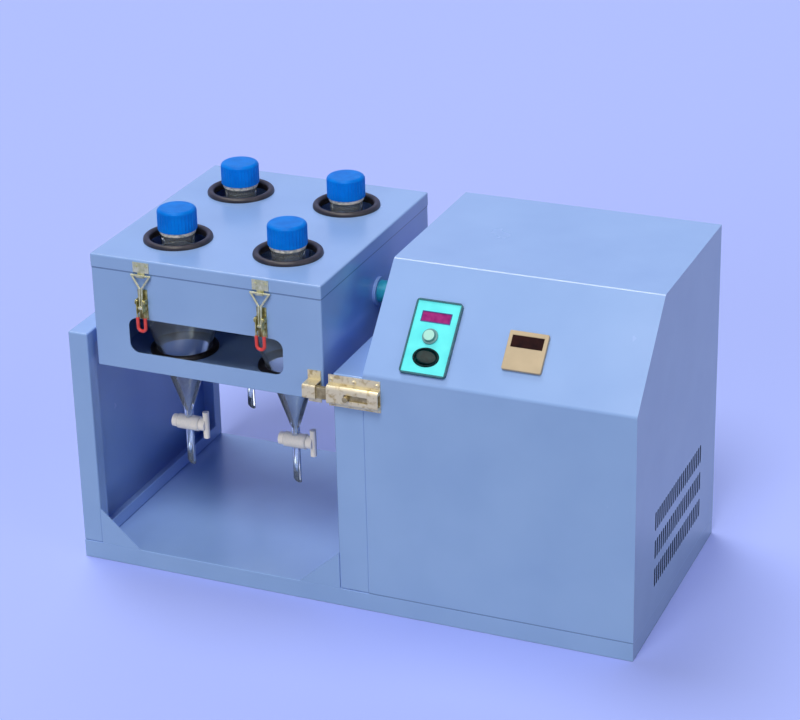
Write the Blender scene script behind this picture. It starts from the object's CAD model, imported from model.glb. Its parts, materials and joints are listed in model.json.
import json
import math

import bmesh
import bpy
from mathutils import Euler, Matrix, Vector

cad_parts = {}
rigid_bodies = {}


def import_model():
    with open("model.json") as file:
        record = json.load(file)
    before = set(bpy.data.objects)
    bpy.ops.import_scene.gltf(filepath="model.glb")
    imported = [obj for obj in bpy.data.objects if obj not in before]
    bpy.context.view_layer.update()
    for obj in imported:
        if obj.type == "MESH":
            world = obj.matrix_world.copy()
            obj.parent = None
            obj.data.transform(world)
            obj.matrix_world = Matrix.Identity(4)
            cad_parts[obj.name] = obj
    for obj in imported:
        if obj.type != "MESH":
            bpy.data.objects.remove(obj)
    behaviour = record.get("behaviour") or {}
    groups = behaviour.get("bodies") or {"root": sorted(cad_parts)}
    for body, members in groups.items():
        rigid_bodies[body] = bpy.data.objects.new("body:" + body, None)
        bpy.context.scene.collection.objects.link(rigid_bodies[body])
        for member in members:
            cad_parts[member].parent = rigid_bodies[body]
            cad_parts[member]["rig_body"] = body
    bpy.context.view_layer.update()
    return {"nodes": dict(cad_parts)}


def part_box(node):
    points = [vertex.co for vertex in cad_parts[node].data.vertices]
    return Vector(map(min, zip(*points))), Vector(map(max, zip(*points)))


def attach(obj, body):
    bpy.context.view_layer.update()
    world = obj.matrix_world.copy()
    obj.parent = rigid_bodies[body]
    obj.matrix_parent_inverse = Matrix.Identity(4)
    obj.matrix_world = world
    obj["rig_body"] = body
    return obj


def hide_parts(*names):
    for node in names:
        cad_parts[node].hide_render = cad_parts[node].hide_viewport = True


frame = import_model()
bpy.ops.object.select_all(action="DESELECT")
scene = bpy.context.scene

# Studio: the camera stands where the photograph was taken from, in front, to the right and above.
# Floor and surroundings are one plain periwinkle. Soft lamps stand above, in front, at the side and behind.
# The low one and the back one only fill shadows, and the gloss doesn't mirror them.
BACKDROP = "#b0bfff"
FLOOR_SEEN = "#a0b3ff"
FLOOR_BOUNCE = "#93969e"
CAMERA_PLACE = (1.0554, -2.4267, 1.4625)
CAMERA_TURN = (67.312, 0.705, 21.56)
LENS = 106.87
FILM_WIDTH = 36
LENS_SHIFT = (-0.0719, -0.0966)
CAMERA_REACH = 50
ROOM_COLOUR = "#b4c8ff"
ROOM_LIGHT = 0.05
FLOOR_SIZE = 40
FLOOR_Z = -0.0005
LAMP_COLOUR = "#fff6e6"
LAMPS = {
    "sky_lamp": ((-0.30, 0.20, 0.93), 1.35, 25, True),
    "front_lamp": ((0.06, -0.50, 0.86), 2.10, 25, True),
    "low_lamp": ((-0.15, -0.95, 0.24), 0.95, 30, False),
    "side_lamp": ((0.90, -0.25, 0.36), 0.65, 50, True),
    "back_lamp": ((-0.55, 0.75, 0.37), 1.00, 50, False),
}


def linear(hex_colour):
    """sRGB hex to linear red, green, blue and alpha."""
    channels = [int(hex_colour[i:i + 2], 16) / 255 for i in (1, 3, 5)]
    flat = [c / 12.92 if c <= 0.04045 else ((c + 0.055) / 1.055) ** 2.4 for c in channels]
    return (*flat, 1.0)


def add(tree, kind, sockets=None, stops=(), feeds=None, **settings):
    """Adds a node with its settings, ramp stops, socket values and links, and may feed a socket."""
    node = tree.nodes.new("ShaderNode" + kind)
    for name, value in settings.items():
        setattr(node, name, value)
    for mark, (place, colour) in zip(node.color_ramp.elements if stops else (), stops):
        mark.position = place
        mark.color = colour
    for name, value in (sockets or {}).items():
        if isinstance(value, bpy.types.NodeSocket):
            tree.links.new(value, node.inputs[name])
        else:
            node.inputs[name].default_value = value
    if feeds:
        tree.links.new(node.outputs[0], feeds)
    return node


def seen_as_backdrop(tree):
    """A socket that is 1 for rays from the camera, through glass or off a mirror, and 0 for others."""
    rays = add(tree, "LightPath").outputs
    straight = add(tree, "Math", {0: rays["Is Camera Ray"], 1: rays["Is Transmission Ray"]},
                   operation="MAXIMUM")
    seen = add(tree, "Math", {0: straight.outputs[0], 1: rays["Is Glossy Ray"]}, operation="MAXIMUM")
    return seen.outputs[0]


lens = bpy.data.cameras.new("camera")
lens.lens = LENS
lens.sensor_width = FILM_WIDTH
lens.shift_x, lens.shift_y = LENS_SHIFT
lens.clip_end = CAMERA_REACH
camera = bpy.data.objects.new("camera", lens)
camera.location = CAMERA_PLACE
camera.rotation_euler = Euler([math.radians(a) for a in CAMERA_TURN])
scene.collection.objects.link(camera)
scene.camera = camera
scene.view_settings.view_transform = "Standard"

for name, (towards, strength, spread, mirrored) in LAMPS.items():
    lamp = bpy.data.lights.new(name, "SUN")
    lamp.energy = strength
    lamp.color = linear(LAMP_COLOUR)[:3]
    lamp.angle = math.radians(spread)
    stand = bpy.data.objects.new(name, lamp)
    stand.rotation_euler = Vector(towards).to_track_quat("Z", "Y").to_euler()
    stand.visible_glossy = mirrored
    scene.collection.objects.link(stand)

world = bpy.data.worlds.new("pale_room")
scene.world = world
world.use_nodes = True
sky = world.node_tree
for old in list(sky.nodes):
    sky.nodes.remove(old)
plain_light = add(sky, "Background", {"Color": linear(ROOM_COLOUR), "Strength": ROOM_LIGHT})
backdrop = add(sky, "Background", {"Color": linear(BACKDROP), "Strength": 1.0})
room = add(sky, "MixShader", {0: seen_as_backdrop(sky), 1: plain_light.outputs[0], 2: backdrop.outputs[0]})
add(sky, "OutputWorld", {"Surface": room.outputs[0]})

bpy.ops.mesh.primitive_plane_add(size=FLOOR_SIZE, location=(0, 0, FLOOR_Z))
floor = bpy.context.active_object
floor.name = "floor"
floor_look = bpy.data.materials.new("plain_floor")
floor_look.use_nodes = True
tree = floor_look.node_tree
shader = tree.nodes["Principled BSDF"]
add(tree, "MixRGB", {"Fac": seen_as_backdrop(tree), "Color1": linear(FLOOR_BOUNCE),
                     "Color2": linear(FLOOR_SEEN)}, feeds=shader.inputs["Base Color"])
shader.inputs["Roughness"].default_value = 1.0
shader.inputs["Specular IOR Level"].default_value = 0.0
floor.data.materials.append(floor_look)

# Base tray, uprights and corner gussets: steel sheet 1.5 mm thick, folded on a press brake,
# spot welded and powder coated light blue. The folds show as soft round edges that catch the light.
PAINT = "#88ace9"
PAINT_DEEP = "#82a6e4"
FOLD_RADIUS = 0.0022
TRAY_RADIUS = 0.001
SHEET_FACE = 0.004
WELD = 1e-6
FLAT_BEND = math.radians(1)
SHARP_BEND = math.radians(25)
SMOOTH_BEND = math.radians(30)


def new_finish(name, sockets):
    """A new material, its node tree, its shader with these sockets set, and its Object coordinates."""
    material = bpy.data.materials.new(name)
    material.use_nodes = True
    shader = material.node_tree.nodes["Principled BSDF"]
    for socket, value in sockets.items():
        shader.inputs[socket].default_value = value
    place = add(material.node_tree, "TexCoord").outputs["Object"]
    return material, material.node_tree, shader, place


def dress(material, *names):
    """Gives CAD nodes a material."""
    for name in names:
        slots = frame["nodes"][name].data.materials
        slots.clear()
        slots.append(material)


# Powder coat: semi-gloss, with an orange peel drawn coarser than real, 4 mm, so that it shows,
# and faint hand marks that change the gloss.
powder_coat, tree, shader, place = new_finish("powder_coated_steel", {
    "IOR": 1.5, "Coat Weight": 0.3, "Coat Roughness": 0.2})
cloud = add(tree, "TexNoise", {"Vector": place, "Scale": 1 / 0.12, "Detail": 3.0})
add(tree, "ValToRGB", {"Fac": cloud.outputs["Fac"]}, feeds=shader.inputs["Base Color"],
    stops=((0.35, linear(PAINT_DEEP)), (0.65, linear(PAINT))))
marks = add(tree, "TexNoise", {"Vector": place, "Scale": 1 / 0.05, "Detail": 4.0})
add(tree, "MapRange", {"Value": marks.outputs["Fac"], "To Min": 0.2, "To Max": 0.3},
    feeds=shader.inputs["Roughness"])
peel = add(tree, "TexNoise", {"Vector": place, "Scale": 1 / 0.004})
add(tree, "Bump", {"Height": peel.outputs["Fac"], "Strength": 0.04, "Distance": 0.0004},
    feeds=shader.inputs["Normal"])


def face_width(face):
    """Width of a long flat face."""
    return 2 * face.calc_area() / face.calc_perimeter()


def eased(node, material, radius=FOLD_RADIUS, least=SHEET_FACE):
    """A copy of a CAD node with round outer edges in place of sharp ones between faces wider than least.

    The normals are weighted by area, so that the wide faces stay flat.
    """
    solid = frame["nodes"][node]
    piece = bpy.data.objects.new(node + "_eased", solid.data.copy())
    scene.collection.objects.link(piece)
    bpy.ops.object.select_all(action="DESELECT")
    piece.select_set(True)
    bpy.context.view_layer.objects.active = piece
    bpy.ops.mesh.customdata_custom_splitnormals_clear()
    bpy.ops.object.mode_set(mode="EDIT")
    bpy.ops.mesh.select_all(action="SELECT")
    bpy.ops.mesh.remove_doubles(threshold=WELD)
    bpy.ops.mesh.dissolve_limited(angle_limit=FLAT_BEND)
    bpy.ops.mesh.select_all(action="DESELECT")
    bpy.ops.mesh.select_mode(type="EDGE")
    mesh = bmesh.from_edit_mesh(piece.data)
    for edge in mesh.edges:
        bent = edge.is_manifold and edge.is_convex and edge.calc_face_angle() > SHARP_BEND
        edge.select_set(bent and min(face_width(f) for f in edge.link_faces) > least)
    bmesh.update_edit_mesh(piece.data)
    bpy.ops.mesh.bevel(offset=radius, segments=4, affect="EDGES", clamp_overlap=True)
    bpy.ops.object.mode_set(mode="OBJECT")
    bpy.ops.object.shade_smooth_by_angle(angle=SMOOTH_BEND)
    flat_faces = piece.modifiers.new("flat_faces", "WEIGHTED_NORMAL")
    flat_faces.keep_sharp = True
    bpy.ops.object.modifier_apply(modifier="flat_faces")
    piece.data.materials.clear()
    piece.data.materials.append(material)
    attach(piece, solid["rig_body"])
    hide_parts(node)


eased("base_tray", powder_coat, radius=TRAY_RADIUS)
for sheet in ("left_upright", "right_upright"):
    eased(sheet, powder_coat)
dress(powder_coat, "corner_gussets")

# Base plate: a flat zinc-plated sheet that closes the tray from below.
# The motor's stand, the speed disc and its sensor have the same plating, with a faint spangle.
zinc_plate, tree, shader, place = new_finish("zinc_plated_steel", {"Metallic": 1.0, "Roughness": 0.42})
spangle = add(tree, "TexNoise", {"Vector": place, "Scale": 1 / 0.012, "Detail": 2.0})
add(tree, "ValToRGB", {"Fac": spangle.outputs["Fac"]}, feeds=shader.inputs["Base Color"],
    stops=((0.35, linear("#8f9398")), (0.65, linear("#b4b8bb"))))
dress(zinc_plate, "base_plate", "motor_stand", "speed_sensor", "speed_disc")

# Cabinet: the cover is one sheet folded over the front, the slanted panel and the top.
# Side, rear and end panels are flat sheets screwed in behind its edges. Dust lies in the seam below.
SEAM_DUST = "#6585bd"
SEAM_LINE = 0.0016


def dusty_seam(name, low, high):
    """A copy of the powder coat with dust from one height to another, where a seam holds it."""
    material = powder_coat.copy()
    material.name = name
    tree = material.node_tree
    shader = tree.nodes["Principled BSDF"]
    coat = shader.inputs["Base Color"].links[0].from_socket
    height = add(tree, "SeparateXYZ", {"Vector": tree.nodes["Texture Coordinate"].outputs["Object"]})
    above = add(tree, "Math", {0: height.outputs["Z"], 1: low}, operation="GREATER_THAN")
    below = add(tree, "Math", {0: height.outputs["Z"], 1: high}, operation="LESS_THAN")
    inside = add(tree, "Math", {0: above.outputs[0], 1: below.outputs[0]}, operation="MULTIPLY")
    add(tree, "MixRGB", {"Fac": inside.outputs[0], "Color1": coat, "Color2": linear(SEAM_DUST)},
        feeds=shader.inputs["Base Color"])
    return material


cover_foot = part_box("cabinet_cover")[0][2]
eased("cabinet_cover", dusty_seam("powder_coat_over_base", 0.0, cover_foot + SEAM_LINE))
dress(powder_coat, "rear_panel", "end_panel")

# Side panel: a flat sheet with three bands of vent slots, cut after painting.
# The walls of the slots are bare and oxidised dark, chosen by the way they face.
cut_paint = powder_coat.copy()
cut_paint.name = "powder_coat_with_cut_edges"
tree = cut_paint.node_tree
shader = tree.nodes["Principled BSDF"]
coat = shader.inputs["Base Color"].links[0].from_socket
facing = add(tree, "SeparateXYZ", {"Vector": add(tree, "NewGeometry").outputs["Normal"]})
outward = add(tree, "Math", {0: facing.outputs["X"]}, operation="ABSOLUTE")
add(tree, "MixRGB", {"Fac": outward.outputs[0], "Color1": linear("#394b70"), "Color2": coat},
    feeds=shader.inputs["Base Color"])
dress(cut_paint, "side_panel")

# Rear panel screws: M4 pan heads of zinc-plated steel with a cross recess, eight round the panel's edge.
# The head is a short cylinder with a domed rim, and a cross of two bars is cut from it.
HEAD_R = 0.0040
HEAD_H = 0.0026
HEAD_DOME = 0.0012
RECESS = (0.0046, 0.0011, 0.0028)
SCREW_INSET = 0.014
SCREW_TURN = 37

bpy.ops.object.select_all(action="DESELECT")
bpy.ops.mesh.primitive_cylinder_add(vertices=48, radius=HEAD_R, depth=HEAD_H, location=(0, 0, HEAD_H / 2))
head = bpy.context.active_object
bpy.ops.object.transform_apply(location=True, rotation=False, scale=False)
bpy.ops.object.mode_set(mode="EDIT")
bpy.ops.mesh.select_mode(type="EDGE")
bpy.ops.mesh.select_all(action="DESELECT")
mesh = bmesh.from_edit_mesh(head.data)
for edge in mesh.edges:
    edge.select_set(all(corner.co.z > HEAD_H / 2 for corner in edge.verts))
bmesh.update_edit_mesh(head.data)
bpy.ops.mesh.bevel(offset=HEAD_DOME, segments=5, affect="EDGES")
bpy.ops.object.mode_set(mode="OBJECT")
for quarter in (0, 90):
    bpy.ops.mesh.primitive_cube_add(size=1, location=(0, 0, HEAD_H), rotation=(0, 0, math.radians(quarter)))
    bar = bpy.context.active_object
    bar.scale = RECESS
    bpy.context.view_layer.update()
    cut = head.modifiers.new("recess", "BOOLEAN")
    cut.object = bar
    bpy.context.view_layer.objects.active = head
    bpy.ops.object.modifier_apply(modifier="recess")
    bpy.data.objects.remove(bar)
bpy.ops.object.select_all(action="DESELECT")
head.select_set(True)
bpy.ops.object.shade_smooth_by_angle(angle=SMOOTH_BEND)

low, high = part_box("rear_panel")
columns = (low[0] + SCREW_INSET, (low[0] + high[0]) / 2, high[0] - SCREW_INSET)
rows = (low[2] + SCREW_INSET, (low[2] + high[2]) / 2, high[2] - SCREW_INSET)
places = [(x, z) for x in columns for z in rows if (x, z) != (columns[1], rows[1])]
for number, (x, z) in enumerate(places, 1):
    screw = bpy.data.objects.new("rear_screw_%d" % number, head.data.copy())
    scene.collection.objects.link(screw)
    turn = Matrix.Rotation(math.radians(SCREW_TURN * number), 4, "Z")
    to_the_back = Matrix.Rotation(math.radians(-90), 4, "X")
    screw.data.transform(Matrix.Translation((x, high[1], z)) @ (to_the_back @ turn))
    screw.data.materials.append(zinc_plate)
    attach(screw, "frame")
bpy.data.objects.remove(head)

# Bearing blocks and shaft spacers: iron castings with teal enamel, the blocks bolted to the uprights.
# The enamel is glossy and shows the casting's rough skin, drawn coarser than real, 3 mm.
CAST_RADIUS = 0.0015
teal_enamel, tree, shader, place = new_finish("teal_enamel_on_iron", {"Roughness": 0.34})
cast = add(tree, "TexNoise", {"Vector": place, "Scale": 1 / 0.008, "Detail": 4.0})
add(tree, "ValToRGB", {"Fac": cast.outputs["Fac"]}, feeds=shader.inputs["Base Color"],
    stops=((0.35, linear("#1c8db0")), (0.65, linear("#2c9fc2"))))
skin = add(tree, "TexNoise", {"Vector": place, "Scale": 1 / 0.003})
add(tree, "Bump", {"Height": skin.outputs["Fac"], "Strength": 0.25, "Distance": 0.0005},
    feeds=shader.inputs["Normal"])
eased("bearing_blocks", teal_enamel, radius=CAST_RADIUS, least=0.0)
dress(teal_enamel, "shaft_spacers")

# Shafts, bearing inserts, hinges and bolts: bright turned or drawn steel.
# Turned faces are clean, with slight changes in tone.
bright_steel, tree, shader, place = new_finish("bright_drawn_steel", {"Metallic": 1.0, "Roughness": 0.25})
tarnish = add(tree, "TexNoise", {"Vector": place, "Scale": 1 / 0.006, "Detail": 3.0})
add(tree, "ValToRGB", {"Fac": tarnish.outputs["Fac"]}, feeds=shader.inputs["Base Color"],
    stops=((0.35, linear("#c6c9cc")), (0.65, linear("#dfe1e3"))))
dress(bright_steel, "bearing_inserts", "shafts", "basket_hinges", "lid_hinges", "frame_screws")

# Motor, gearbox, coupling and capacitor: bought parts inside the cabinet, seen only if it is opened.
# Grey enamel on the motor, bare die-cast aluminium on the gearbox, a white plastic case on the capacitor.
motor_enamel, tree, shader, place = new_finish("grey_enamel_on_casting", {"Roughness": 0.45})
cast = add(tree, "TexNoise", {"Vector": place, "Scale": 1 / 0.01, "Detail": 3.0})
add(tree, "ValToRGB", {"Fac": cast.outputs["Fac"]}, feeds=shader.inputs["Base Color"],
    stops=((0.35, linear("#43474d")), (0.65, linear("#54585e"))))
dress(motor_enamel, "motor")

die_cast, tree, shader, place = new_finish("die_cast_aluminium", {"Metallic": 1.0, "Roughness": 0.48})
flow = add(tree, "TexNoise", {"Vector": place, "Scale": 1 / 0.005, "Detail": 3.0})
add(tree, "ValToRGB", {"Fac": flow.outputs["Fac"]}, feeds=shader.inputs["Base Color"],
    stops=((0.35, linear("#a9abad")), (0.65, linear("#c3c5c7"))))
dress(die_cast, "gearbox", "shaft_coupling")

white_case, tree, shader, place = new_finish("white_polypropylene", {"Roughness": 0.5})
cloud = add(tree, "TexNoise", {"Vector": place, "Scale": 1 / 0.01})
add(tree, "ValToRGB", {"Fac": cloud.outputs["Fac"]}, feeds=shader.inputs["Base Color"],
    stops=((0.35, linear("#dcdcda")), (0.65, linear("#e8e8e6"))))
dress(white_case, "capacitor")

# Cable gland and meter case: black moulded plastic. The gland screws into the rear panel, and the
# meter's case stands behind the slanted one. The spark-eroded grain is drawn coarser than real, 0.8 mm.
black_plastic, tree, shader, place = new_finish("black_moulded_abs", {
    "Roughness": 0.45, "Specular IOR Level": 0.25})
cloud = add(tree, "TexNoise", {"Vector": place, "Scale": 1 / 0.004, "Detail": 2.0})
add(tree, "ValToRGB", {"Fac": cloud.outputs["Fac"]}, feeds=shader.inputs["Base Color"],
    stops=((0.35, linear("#050a0b")), (0.65, linear("#0c1516"))))
spark = add(tree, "TexNoise", {"Vector": place, "Scale": 1 / 0.0008})
add(tree, "Bump", {"Height": spark.outputs["Fac"], "Strength": 0.15, "Distance": 0.0001},
    feeds=shader.inputs["Normal"])
dress(black_plastic, "cable_gland", "meter_case")

# Speed controller: a cyan printed face in a dark teal moulded frame, pushed into the slanted panel.
# A magenta acrylic window lies over its display. The printed face is even and satin.
cyan_face, tree, shader, place = new_finish("cyan_printed_face", {"Roughness": 0.35})
cloud = add(tree, "TexNoise", {"Vector": place, "Scale": 1 / 0.02, "Detail": 2.0})
add(tree, "ValToRGB", {"Fac": cloud.outputs["Fac"]}, feeds=shader.inputs["Base Color"],
    stops=((0.35, linear("#4fdfee")), (0.65, linear("#5ae9f5"))))
dress(cyan_face, "controller_case")

# The frame's plastic is a satin dark teal, almost even.
teal_plastic, tree, shader, place = new_finish("dark_teal_abs", {"Roughness": 0.4})
cloud = add(tree, "TexNoise", {"Vector": place, "Scale": 1 / 0.006, "Detail": 2.0})
add(tree, "ValToRGB", {"Fac": cloud.outputs["Fac"]}, feeds=shader.inputs["Base Color"],
    stops=((0.35, linear("#14515f")), (0.65, linear("#1c6170"))))
dress(teal_plastic, "controller_bezel")

# The window's tinted sheet is smooth, with a slightly uneven glow behind it.
red_window, tree, shader, place = new_finish("magenta_acrylic", {
    "Roughness": 0.2, "Specular IOR Level": 0.1})
glow = add(tree, "TexNoise", {"Vector": place, "Scale": 1 / 0.006, "Detail": 1.0})
add(tree, "ValToRGB", {"Fac": glow.outputs["Fac"]}, feeds=shader.inputs["Base Color"],
    stops=((0.35, linear("#852270")), (0.65, linear("#98307e"))))
dress(red_window, "controller_window")

# Display frame: a thin moulded rim of violet plastic, glued on the face round the window.
# It starts as a plane, inset to a rim and raised. The plastic is satin.
SLOPE = 47.203
PANEL_OUT = Vector((0.0, -0.73375, 0.67943))
WINDOW = (0.0350, 0.0114)
WINDOW_T = 0.0012
RIM_W = 0.0009
RIM_H = 0.0007


def onto_panel(piece, foot, tilt=0, lift=0.0):
    """Sets a piece modelled flat at the origin on the slanted panel, tilted sideways and lifted."""
    turn = Matrix.Rotation(math.radians(SLOPE), 4, "X") @ Matrix.Rotation(math.radians(tilt), 4, "Y")
    piece.data.transform(Matrix.Translation(foot) @ turn @ Matrix.Translation((0, 0, lift)))


bpy.ops.object.select_all(action="DESELECT")
bpy.ops.mesh.primitive_plane_add(size=1)
rim = bpy.context.active_object
rim.name = "display_frame"
rim.scale = (WINDOW[0] + 2 * RIM_W, WINDOW[1] + 2 * RIM_W, 1)
bpy.ops.object.transform_apply(location=False, rotation=False, scale=True)
bpy.ops.object.mode_set(mode="EDIT")
bpy.ops.mesh.select_mode(type="FACE")
bpy.ops.mesh.select_all(action="SELECT")
bpy.ops.mesh.inset(thickness=RIM_W)
bpy.ops.mesh.delete(type="FACE")
bpy.ops.mesh.select_all(action="SELECT")
bpy.ops.mesh.extrude_region_move(TRANSFORM_OT_translate={"value": (0, 0, RIM_H)})
bpy.ops.mesh.select_all(action="SELECT")
bpy.ops.mesh.normals_make_consistent(inside=False)
bpy.ops.object.mode_set(mode="OBJECT")
low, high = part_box("controller_window")
onto_panel(rim, (Vector(low) + Vector(high)) / 2 + PANEL_OUT * WINDOW_T / 2)

violet_plastic, tree, shader, place = new_finish("violet_abs", {
    "Roughness": 0.4, "Specular IOR Level": 0.2})
cloud = add(tree, "TexNoise", {"Vector": place, "Scale": 1 / 0.004})
add(tree, "ValToRGB", {"Fac": cloud.outputs["Fac"]}, feeds=shader.inputs["Base Color"],
    stops=((0.35, linear("#3f4488")), (0.65, linear("#4a5096"))))
rim.data.materials.append(violet_plastic)
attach(rim, "frame")

# Speed knob: a moulded knob pushed on its spindle, grey-green, with a mint-white disc set in its top.
# The height over the panel decides which of the two plastics shows. Both are fairly glossy.
KNOB_FOOT = (0.0994, -0.126749, 0.353311)
KNOB_RADIUS = 0.0006
DISC_EDGE = 0.0093
knob_plastic, tree, shader, place = new_finish("grey_and_mint_abs", {"Roughness": 0.3})
from_foot = add(tree, "VectorMath", {0: place, 1: KNOB_FOOT}, operation="SUBTRACT")
height = add(tree, "VectorMath", {0: from_foot.outputs["Vector"], 1: PANEL_OUT}, operation="DOT_PRODUCT")
on_disc = add(tree, "Math", {0: height.outputs["Value"], 1: DISC_EDGE}, operation="GREATER_THAN")
add(tree, "MixRGB", {"Fac": on_disc.outputs[0], "Color1": linear("#5f9299"), "Color2": linear("#a0dcd8")},
    feeds=shader.inputs["Base Color"])
eased("speed_knob", knob_plastic, radius=KNOB_RADIUS, least=0.0)

# Run switch: an oval rocker of dark green-black plastic in an oval collar, snapped into the face.
# Rocker and collar start as a cylinder and a torus, flattened to ovals. The plastic hardly shines.
SWITCH_PLACE = (0.1004, -0.144232, 0.335018)
ROCKER_TILT = 12
ROCKER = (0.0250, 0.0165, 0.0100)
ROCKER_EDGE = 0.0014
COLLAR = (0.0146, 0.0106)
COLLAR_WIRE = 0.0016
COLLAR_SECTION = 0.12
COLLAR_LIFT = 0.0030
MOULDED_BEND = math.radians(40)

green_black, tree, shader, place = new_finish("green_black_abs", {
    "Roughness": 0.35, "Specular IOR Level": 0.1})
cloud = add(tree, "TexNoise", {"Vector": place, "Scale": 1 / 0.004, "Detail": 2.0})
add(tree, "ValToRGB", {"Fac": cloud.outputs["Fac"]}, feeds=shader.inputs["Base Color"],
    stops=((0.35, linear("#02181a")), (0.65, linear("#062a2d"))))

bpy.ops.mesh.primitive_cylinder_add(vertices=72, radius=0.5, depth=1)
rocker = bpy.context.active_object
rocker.name = "rocker"
rocker.scale = ROCKER
bpy.ops.object.transform_apply(location=False, rotation=False, scale=True)
soft_edge = rocker.modifiers.new("soft_edge", "BEVEL")
soft_edge.width = ROCKER_EDGE
soft_edge.segments = 4
bpy.ops.object.modifier_apply(modifier="soft_edge")
bpy.ops.object.shade_smooth_by_angle(angle=MOULDED_BEND)
onto_panel(rocker, SWITCH_PLACE, ROCKER_TILT)
rocker.data.materials.append(green_black)
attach(rocker, "switch")
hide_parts("run_switch")

bpy.ops.mesh.primitive_torus_add(major_segments=72, minor_segments=16, major_radius=1,
                                 minor_radius=COLLAR_SECTION)
collar = bpy.context.active_object
collar.name = "switch_collar"
collar.scale = (COLLAR[0], COLLAR[1], COLLAR_WIRE / COLLAR_SECTION)
bpy.ops.object.transform_apply(location=False, rotation=False, scale=True)
bpy.ops.object.shade_smooth_by_angle(angle=MOULDED_BEND)
onto_panel(collar, SWITCH_PLACE, lift=COLLAR_LIFT)
collar.data.materials.append(green_black)
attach(collar, "frame")

# Panel meter: an ivory moulded case with a dark brown acrylic window, clipped in the slanted panel.
# The ivory is matt, a little yellowed, and the window is smooth and almost black.
METER_RADIUS = 0.0010
ivory, tree, shader, place = new_finish("ivory_abs", {"Roughness": 0.5})
cloud = add(tree, "TexNoise", {"Vector": place, "Scale": 1 / 0.02, "Detail": 2.0})
add(tree, "ValToRGB", {"Fac": cloud.outputs["Fac"]}, feeds=shader.inputs["Base Color"],
    stops=((0.3, linear("#ab9e86")), (0.7, linear("#b5a88f"))))
eased("meter_bezel", ivory, radius=METER_RADIUS, least=0.0)

brown_window, tree, shader, place = new_finish("brown_tinted_acrylic", {
    "Roughness": 0.2, "Specular IOR Level": 0.1})
tint = add(tree, "TexNoise", {"Vector": place, "Scale": 1 / 0.01})
add(tree, "ValToRGB", {"Fac": tint.outputs["Fac"]}, feeds=shader.inputs["Base Color"],
    stops=((0.35, linear("#1c0c09")), (0.65, linear("#2a140f"))))
dress(brown_window, "meter_window")

# Basket: a folded box with a window in its front and four holes in its floor.
# The shaft flanges are welded to its ends and painted with it. Dust lies in the seam under the lid.
basket_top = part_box("basket_shell")[1][2]
eased("basket_shell", dusty_seam("powder_coat_under_lid", basket_top - SEAM_LINE, 1.0))
dress(powder_coat, "shaft_flanges")

# Rings in the lid and the floor: moulded black rubber with a groove for the sheet's edge.
# The rubber is slightly dusty, so its tone and gloss change.
black_rubber, tree, shader, place = new_finish("black_moulded_rubber", {"IOR": 1.5})
dust = add(tree, "TexNoise", {"Vector": place, "Scale": 1 / 0.01, "Detail": 5.0})
add(tree, "ValToRGB", {"Fac": dust.outputs["Fac"]}, feeds=shader.inputs["Base Color"],
    stops=((0.35, linear("#151212")), (0.65, linear("#2b2625"))))
worn = add(tree, "TexNoise", {"Vector": place, "Scale": 1 / 0.012, "Detail": 4.0})
add(tree, "MapRange", {"Value": worn.outputs["Fac"], "To Min": 0.34, "To Max": 0.52},
    feeds=shader.inputs["Roughness"])
dress(black_rubber, "floor_rings", "lid_rings")

# Funnels: blown borosilicate glass with a bottle neck above. The wall is spun from one outline,
# the stem is drawn tube with a slanted tip, and the ground stopcock barrel lies across between them.
GLASS = 0.0022
TIP_Z = 0.1080
COCK_Z = 0.1650
THROAT_Z = 0.1840
BULB_Z = 0.33521
NECK_Z = 0.4022
NECK_TOP = 0.4130
BEAD_Z = 0.4217
BEAD_HALF = 0.0024
BEAD_SHOULDER = 0.0018
BEAD_FLAT = 0.0010
BEAD_EASE = 0.0004
BEAD_SINK = 0.0002
MOUTH_Z = 0.4489
LIP_ROUND = 0.0010
THROAT_R = 0.0055
BORE_R = 0.0020
STEM_R = 0.0050
BULB_R = 0.0500
BELLY_R = 0.0900
NECK_R = 0.0200
BEAD_R = 0.0222
MOUTH_R = 0.0212
CONE = 18
TIP_BEVEL = 35
BARREL_R = 0.0095
BARREL_L = 0.0300
BARREL_ROUND = 0.0012
BARREL_SINK = 0.0015
BORE_DROP = 0.002
BELLY_STEPS = 12
SHOULDER_STEPS = 24
PLUG_LEFT_R = 0.00485
PLUG_RIGHT_R = 0.00625
BULB_SPIN = 96
TUBE_SPIN = 64
GLASS_BEND = math.radians(35)
SHOULDER_TURN = math.acos(NECK_R / BULB_R)
SHOULDER_H = (NECK_Z - BULB_Z) / math.sin(SHOULDER_TURN)


def glass_side(inset):
    """Outline of the bulb from the throat to the neck, as radius and height, drawn in by inset."""
    side = [(THROAT_R - inset, THROAT_Z)]
    for i in range(BELLY_STEPS + 1):
        a = math.radians(CONE) * (1 - i / BELLY_STEPS)
        side.append((BULB_R - inset - BELLY_R * (1 - math.cos(a)), BULB_Z - BELLY_R * math.sin(a)))
    for i in range(1, SHOULDER_STEPS + 1):
        a = SHOULDER_TURN * i / SHOULDER_STEPS
        side.append((BULB_R * math.cos(a) - inset, BULB_Z + SHOULDER_H * math.sin(a)))
    return side


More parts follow.
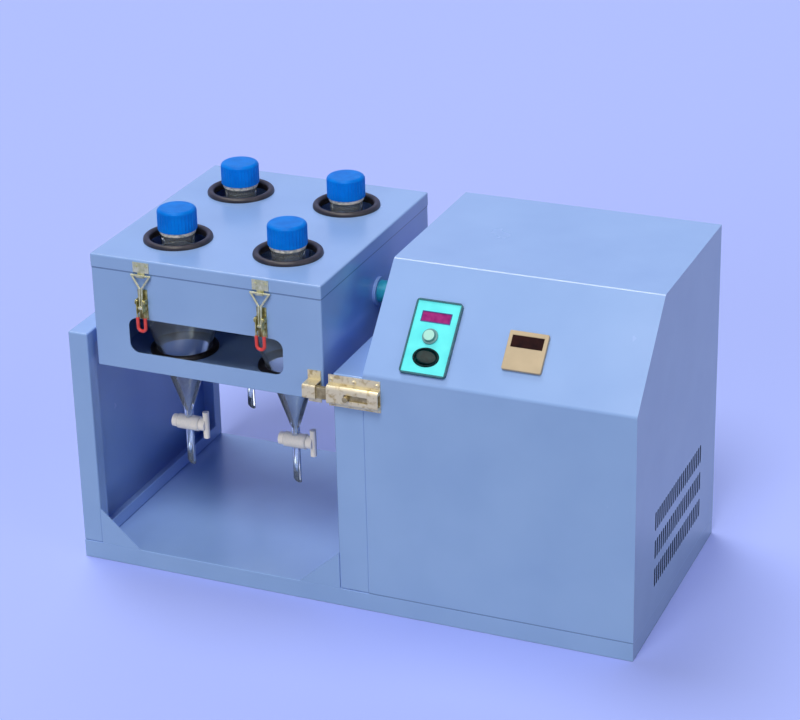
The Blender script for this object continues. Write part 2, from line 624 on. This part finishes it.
def spun(name, outline, steps=BULB_SPIN):
    """A turned piece: a closed outline of radius and height, spun round the Z axis."""
    bpy.ops.mesh.primitive_plane_add(size=0.001)
    piece = bpy.context.active_object
    piece.name = name
    bpy.ops.object.mode_set(mode="EDIT")
    bpy.ops.mesh.select_mode(type="VERT")
    bpy.ops.mesh.select_all(action="SELECT")
    bpy.ops.mesh.merge(type="CENTER")
    start = outline[0]
    bpy.ops.transform.translate(value=(start[0], 0, start[1]))
    for (r0, z0), (r1, z1) in zip(outline, outline[1:] + outline[:1]):
        bpy.ops.mesh.extrude_region_move(TRANSFORM_OT_translate={"value": (r1 - r0, 0, z1 - z0)})
    bpy.ops.mesh.select_all(action="SELECT")
    bpy.ops.mesh.remove_doubles(threshold=WELD)
    bpy.ops.mesh.spin(steps=steps, angle=2 * math.pi, center=(0, 0, 0), axis=(0, 0, 1))
    bpy.ops.mesh.select_all(action="SELECT")
    bpy.ops.mesh.remove_doubles(threshold=WELD)
    bpy.ops.mesh.normals_make_consistent(inside=False)
    bpy.ops.object.mode_set(mode="OBJECT")
    bpy.ops.object.shade_smooth_by_angle(angle=GLASS_BEND)
    return piece


# Blown glass is clear and smooth, with slight waves that bend what is seen through it.
clear_glass, tree, shader, place = new_finish("borosilicate_glass", {
    "Base Color": linear("#f2fafa"), "Roughness": 0.03, "IOR": 1.47, "Transmission Weight": 0.93})
waves = add(tree, "TexNoise", {"Vector": place, "Scale": 1 / 0.02})
add(tree, "Bump", {"Height": waves.outputs["Fac"], "Strength": 0.05, "Distance": 0.0005},
    feeds=shader.inputs["Normal"])

# The thick bead under the cap gathers light, so it looks whitish, with grey swirls.
thick_glass, tree, shader, place = new_finish("thick_pressed_glass", {
    "Roughness": 0.08, "IOR": 1.47, "Transmission Weight": 0.3})
swirl = add(tree, "TexNoise", {"Vector": place, "Scale": 1 / 0.005, "Detail": 2.0})
add(tree, "ValToRGB", {"Fac": swirl.outputs["Fac"]}, feeds=shader.inputs["Base Color"],
    stops=((0.38, linear("#b4c2ca")), (0.55, linear("#fdfefe"))))

# Ground glass scatters light and looks white. Its grit is drawn coarser than real, 2 mm.
ground_glass, tree, shader, place = new_finish("ground_glass", {
    "Roughness": 0.22, "IOR": 1.47, "Transmission Weight": 0.1})
grit = add(tree, "TexNoise", {"Vector": place, "Scale": 1 / 0.002, "Detail": 3.0})
add(tree, "ValToRGB", {"Fac": grit.outputs["Fac"]}, feeds=shader.inputs["Base Color"],
    stops=((0.35, linear("#f4f8fb")), (0.65, linear("#ffffff"))))

bead = [(NECK_R, BEAD_Z - BEAD_HALF), (BEAD_R - BEAD_EASE, BEAD_Z - BEAD_SHOULDER),
        (BEAD_R, BEAD_Z - BEAD_FLAT), (BEAD_R, BEAD_Z + BEAD_FLAT),
        (BEAD_R - BEAD_EASE, BEAD_Z + BEAD_SHOULDER), (MOUTH_R, BEAD_Z + BEAD_HALF)]
lip = [(MOUTH_R, MOUTH_Z - LIP_ROUND), (MOUTH_R - LIP_ROUND, MOUTH_Z),
       (NECK_R - GLASS + LIP_ROUND, MOUTH_Z), (NECK_R - GLASS, MOUTH_Z - LIP_ROUND)]
hidden_end = COCK_Z + BARREL_R - BARREL_SINK
wall = [(BORE_R, hidden_end), (THROAT_R, hidden_end)] + glass_side(0)
wall += [(NECK_R, NECK_TOP), (NECK_R - GLASS, NECK_TOP)]
wall += glass_side(GLASS)[::-1] + [(BORE_R, THROAT_Z - BORE_DROP)]
bulb = spun("funnel_glass", wall)
mouth = spun("funnel_mouth", [(NECK_R - GLASS, NECK_TOP), (NECK_R, NECK_TOP), (NECK_R, BEAD_Z)] + lip)
ring = spun("funnel_bead", [(NECK_R - BEAD_SINK, BEAD_Z + BEAD_HALF),
                            (NECK_R - BEAD_SINK, BEAD_Z - BEAD_HALF)] + bead)

stem_top = COCK_Z - BARREL_R + BARREL_SINK
stem = spun("funnel_stem", [(BORE_R, TIP_Z), (STEM_R, TIP_Z), (STEM_R, stem_top), (BORE_R, stem_top)],
            TUBE_SPIN)
bpy.ops.object.mode_set(mode="EDIT")
bpy.ops.mesh.select_all(action="SELECT")
slant = math.radians(TIP_BEVEL)
bpy.ops.mesh.bisect(plane_co=(0, 0, TIP_Z + STEM_R * math.tan(slant)),
                    plane_no=(math.sin(slant), 0, math.cos(slant)), clear_inner=True)
bpy.ops.mesh.bridge_edge_loops()
bpy.ops.object.mode_set(mode="OBJECT")

half = BARREL_L / 2
barrel = spun("funnel_barrel", [
    (PLUG_LEFT_R, -half), (BARREL_R - BARREL_ROUND, -half), (BARREL_R, BARREL_ROUND - half),
    (BARREL_R, half - BARREL_ROUND), (BARREL_R - BARREL_ROUND, half), (PLUG_RIGHT_R, half)],
              TUBE_SPIN)
barrel.data.transform(Matrix.Translation((0, 0, COCK_Z)) @ Matrix.Rotation(math.radians(90), 4, "Y"))

for number in range(1, 5):
    node = "funnel_%d" % number
    low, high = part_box(node)
    at = Matrix.Translation(((low[0] + high[0]) / 2, (low[1] + high[1]) / 2, 0))
    for pattern, material in ((bulb, clear_glass), (stem, clear_glass), (barrel, ground_glass),
                              (mouth, clear_glass), (ring, thick_glass)):
        copy = bpy.data.objects.new("%s_%d" % (pattern.name, number), pattern.data.copy())
        scene.collection.objects.link(copy)
        copy.data.transform(at)
        copy.data.materials.append(material)
        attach(copy, "basket")
        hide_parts(node)
for pattern in (bulb, stem, barrel, mouth, ring):
    bpy.data.objects.remove(pattern)

# Stopcock plugs: turned white fluoropolymer with a waxy gloss, pushed into the barrels.
# The T handle and the collar have soft edges.
PLUG_RADIUS = 0.0014
white_ptfe, tree, shader, place = new_finish("white_ptfe", {"Roughness": 0.3})
wax = add(tree, "TexNoise", {"Vector": place, "Scale": 1 / 0.006, "Detail": 3.0})
add(tree, "ValToRGB", {"Fac": wax.outputs["Fac"]}, feeds=shader.inputs["Base Color"],
    stops=((0.35, linear("#f8f8f7")), (0.65, linear("#ffffff"))))
for number in range(1, 5):
    eased("stopcock_%d" % number, white_ptfe, radius=PLUG_RADIUS, least=0.0)

# Caps: moulded azure polypropylene with fine grip ribs, screwed on the necks.
# The plastic is satin, with a faint flow pattern.
blue_cap, tree, shader, place = new_finish("azure_polypropylene", {
    "Roughness": 0.4, "Specular IOR Level": 0.1})
flow = add(tree, "TexNoise", {"Vector": place, "Scale": 1 / 0.015, "Detail": 2.0})
add(tree, "ValToRGB", {"Fac": flow.outputs["Fac"]}, feeds=shader.inputs["Base Color"],
    stops=((0.35, linear("#006cd8")), (0.65, linear("#0078e4"))))
dress(blue_cap, "cap_1", "cap_2", "cap_3", "cap_4")

# Lid: a folded pan over the basket, with four holes for the necks, hinged at the back.
# It has the same powder coat as the basket.
eased("lid_pan", powder_coat)

# Toggle latches: pressed steel with yellow zinc plating, riveted to the basket and the lid.
# The catches and wire bails are plated paler. A red sleeve is pushed on each handle's wire loop.
yellow_zinc, tree, shader, place = new_finish("yellow_zinc_plate", {"Metallic": 0.8, "Roughness": 0.3})
iris = add(tree, "TexNoise", {"Vector": place, "Scale": 1 / 0.005, "Detail": 2.0})
add(tree, "ValToRGB", {"Fac": iris.outputs["Fac"]}, feeds=shader.inputs["Base Color"],
    stops=((0.35, linear("#968f54")), (0.65, linear("#cdc586"))))
dress(yellow_zinc, "latch_plates", "latch_lever_left", "latch_lever_right")

# The paler plating is flatter in tone than the yellow, which shades from olive to straw.
pale_zinc, tree, shader, place = new_finish("pale_zinc_plate", {"Metallic": 0.7, "Roughness": 0.34})
iris = add(tree, "TexNoise", {"Vector": place, "Scale": 1 / 0.005, "Detail": 2.0})
add(tree, "ValToRGB", {"Fac": iris.outputs["Fac"]}, feeds=shader.inputs["Base Color"],
    stops=((0.35, linear("#bcbc8e")), (0.65, linear("#dcdab4"))))
dress(pale_zinc, "latch_catches", "latch_bail_left", "latch_bail_right")

# The sleeve's soft plastic is an even red with a slight shine.
red_sleeve, tree, shader, place = new_finish("red_pvc_sleeve", {"Roughness": 0.35})
cloud = add(tree, "TexNoise", {"Vector": place, "Scale": 1 / 0.004})
add(tree, "ValToRGB", {"Fac": cloud.outputs["Fac"]}, feeds=shader.inputs["Base Color"],
    stops=((0.35, linear("#c63d3c")), (0.65, linear("#d24b48"))))
dress(red_sleeve, "handle_sleeve_left", "handle_sleeve_right")

# Barrel bolt: pressed sheet, plated a pale brass, screwed and riveted across upright and cabinet.
# The bar slides in its hood and reaches into the keeper on the basket. The plating has brown stains.
brass_plate, tree, shader, place = new_finish("pale_brass_plate", {"Metallic": 0.5, "Roughness": 0.36})
stains = add(tree, "TexNoise", {"Vector": place, "Scale": 1 / 0.007, "Detail": 2.0})
add(tree, "ValToRGB", {"Fac": stains.outputs["Fac"]}, feeds=shader.inputs["Base Color"],
    stops=((0.28, linear("#b5a06a")), (0.48, linear("#e0d6b2"))))
dress(brass_plate, "bolt_body", "bolt_keeper")

# Bolt bar: a flat bar with a turned knob screwed in, of the same plating.
# Sliding has worn it down to a darker brown brass.
BAR_RADIUS = 0.0006
worn_brass, tree, shader, place = new_finish("worn_brass_bar", {"Metallic": 0.6, "Roughness": 0.4})
rubbed = add(tree, "TexNoise", {"Vector": place, "Scale": 1 / 0.006, "Detail": 3.0})
add(tree, "ValToRGB", {"Fac": rubbed.outputs["Fac"]}, feeds=shader.inputs["Base Color"],
    stops=((0.35, linear("#8e7f58")), (0.65, linear("#b3a57c"))))
eased("bolt_bar", worn_brass, radius=BAR_RADIUS, least=0.0)
